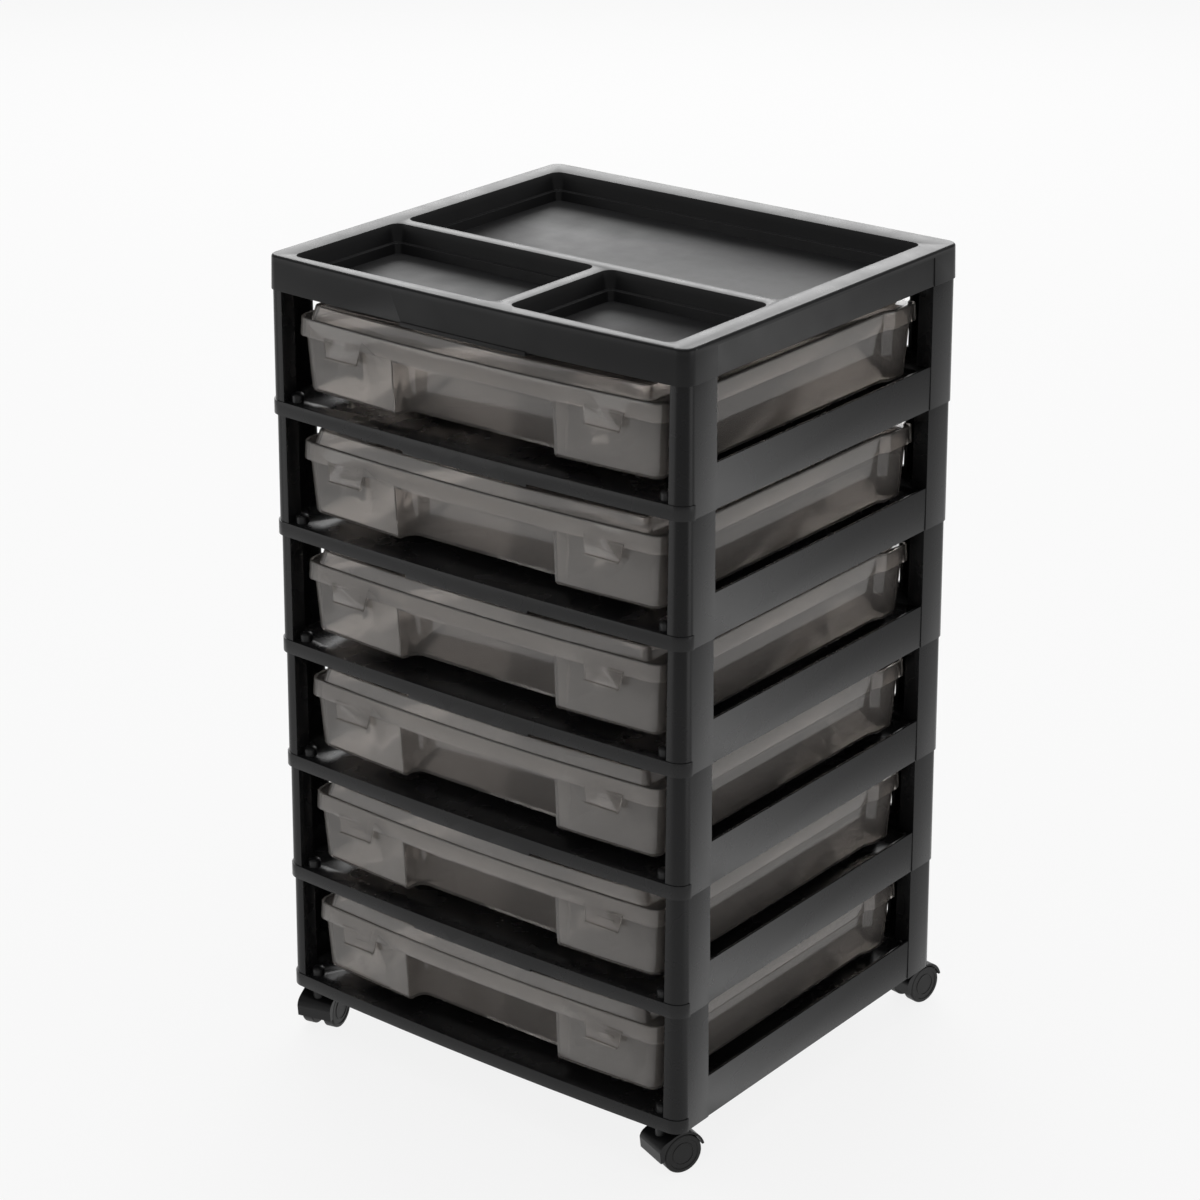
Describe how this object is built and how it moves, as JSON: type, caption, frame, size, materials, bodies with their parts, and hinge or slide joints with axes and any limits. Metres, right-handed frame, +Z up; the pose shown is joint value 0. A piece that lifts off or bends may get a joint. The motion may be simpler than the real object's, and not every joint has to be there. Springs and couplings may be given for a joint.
{
  "type": "rolling drawer cart",
  "caption": "Rolling cart of stacked open tiers on swivel casters, with a lidded sliding case on each shelf and a divided organizer tray on top.",
  "frame": {"origin": "on the floor, under the middle of the cart's plan", "axes": "+Z up, the front of the cart faces -Y, +X to the right seen from the front"},
  "size_m": [0.3954, 0.3772, 0.647],
  "materials": {
    "frame": "satin",
    "case": "smooth translucent smoke",
    "caster": "satin",
    "wheel": "satin",
    "steel": "zinc plated"
  },
  "bodies": {
    "cart": {"organizer_top": "frame", "tier_frame_1": "frame", "tier_frame_2": "frame", "tier_frame_3": "frame", "tier_frame_4": "frame", "tier_frame_5": "frame", "tier_frame_6": "frame"},
    "case_1": {"case_base_1": "case", "case_lid_1": "case"},
    "case_2": {"case_base_2": "case", "case_lid_2": "case"},
    "case_3": {"case_base_3": "case", "case_lid_3": "case"},
    "case_4": {"case_base_4": "case", "case_lid_4": "case"},
    "case_5": {"case_base_5": "case", "case_lid_5": "case"},
    "case_6": {"case_base_6": "case", "case_lid_6": "case"},
    "caster_front_right": {"caster_stem_front_right": "steel", "caster_hood_front_right": "caster", "caster_axle_front_right": "steel"},
    "wheel_a_front_right": {"caster_wheel_a_front_right": "wheel"},
    "wheel_b_front_right": {"caster_wheel_b_front_right": "wheel"},
    "caster_front_left": {"caster_stem_front_left": "steel", "caster_hood_front_left": "caster", "caster_axle_front_left": "steel"},
    "wheel_a_front_left": {"caster_wheel_a_front_left": "wheel"},
    "wheel_b_front_left": {"caster_wheel_b_front_left": "wheel"},
    "caster_back_right": {"caster_stem_back_right": "steel", "caster_hood_back_right": "caster", "caster_axle_back_right": "steel"},
    "wheel_a_back_right": {"caster_wheel_a_back_right": "wheel"},
    "wheel_b_back_right": {"caster_wheel_b_back_right": "wheel"},
    "caster_back_left": {"caster_stem_back_left": "steel", "caster_hood_back_left": "caster", "caster_axle_back_left": "steel"},
    "wheel_a_back_left": {"caster_wheel_a_back_left": "wheel"},
    "wheel_b_back_left": {"caster_wheel_b_back_left": "wheel"}
  },
  "joints": [
    {"name": "case_1_slide", "type": "slide", "parent": "cart", "child": "case_1", "axis": [0, -1, 0], "range_m": [0, 0.22]},
    {"name": "case_2_slide", "type": "slide", "parent": "cart", "child": "case_2", "axis": [0, -1, 0], "range_m": [0, 0.22]},
    {"name": "case_3_slide", "type": "slide", "parent": "cart", "child": "case_3", "axis": [0, -1, 0], "range_m": [0, 0.22]},
    {"name": "case_4_slide", "type": "slide", "parent": "cart", "child": "case_4", "axis": [0, -1, 0], "range_m": [0, 0.22]},
    {"name": "case_5_slide", "type": "slide", "parent": "cart", "child": "case_5", "axis": [0, -1, 0], "range_m": [0, 0.22]},
    {"name": "case_6_slide", "type": "slide", "parent": "cart", "child": "case_6", "axis": [0, -1, 0], "range_m": [0, 0.22]},
    {"name": "caster_front_right_swivel", "type": "hinge", "parent": "cart", "child": "caster_front_right", "pos_m": [0.173, -0.17255, 0.0385], "axis": [0, 0, 1], "continuous": true},
    {"name": "wheel_a_front_right_roll", "type": "hinge", "parent": "caster_front_right", "child": "wheel_a_front_right", "pos_m": [0.1769, -0.16291, 0.016], "axis": [0.9272, -0.3746, 0], "continuous": true},
    {"name": "wheel_b_front_right_roll", "type": "hinge", "parent": "caster_front_right", "child": "wheel_b_front_right", "pos_m": [0.1769, -0.16291, 0.016], "axis": [0.9272, -0.3746, 0], "continuous": true},
    {"name": "caster_front_left_swivel", "type": "hinge", "parent": "cart", "child": "caster_front_left", "pos_m": [-0.173, -0.17255, 0.0385], "axis": [0, 0, 1], "continuous": true},
    {"name": "wheel_a_front_left_roll", "type": "hinge", "parent": "caster_front_left", "child": "wheel_a_front_left", "pos_m": [-0.17552, -0.16246, 0.016], "axis": [0.9703, 0.2419, 0], "continuous": true},
    {"name": "wheel_b_front_left_roll", "type": "hinge", "parent": "caster_front_left", "child": "wheel_b_front_left", "pos_m": [-0.17552, -0.16246, 0.016], "axis": [0.9703, 0.2419, 0], "continuous": true},
    {"name": "caster_back_right_swivel", "type": "hinge", "parent": "cart", "child": "caster_back_right", "pos_m": [0.173, 0.15745, 0.0385], "axis": [0, 0, 1], "continuous": true},
    {"name": "wheel_a_back_right_roll", "type": "hinge", "parent": "caster_back_right", "child": "wheel_a_back_right", "pos_m": [0.17481, 0.16769, 0.016], "axis": [0.9848, -0.1736, 0], "continuous": true},
    {"name": "wheel_b_back_right_roll", "type": "hinge", "parent": "caster_back_right", "child": "wheel_b_back_right", "pos_m": [0.17481, 0.16769, 0.016], "axis": [0.9848, -0.1736, 0], "continuous": true},
    {"name": "caster_back_left_swivel", "type": "hinge", "parent": "cart", "child": "caster_back_left", "pos_m": [-0.173, 0.15745, 0.0385], "axis": [0, 0, 1], "continuous": true},
    {"name": "wheel_a_back_left_roll", "type": "hinge", "parent": "caster_back_left", "child": "wheel_a_back_left", "pos_m": [-0.17723, 0.16695, 0.016], "axis": [0.9135, 0.4067, 0], "continuous": true},
    {"name": "wheel_b_back_left_roll", "type": "hinge", "parent": "caster_back_left", "child": "wheel_b_back_left", "pos_m": [-0.17723, 0.16695, 0.016], "axis": [0.9135, 0.4067, 0], "continuous": true}
  ]
}
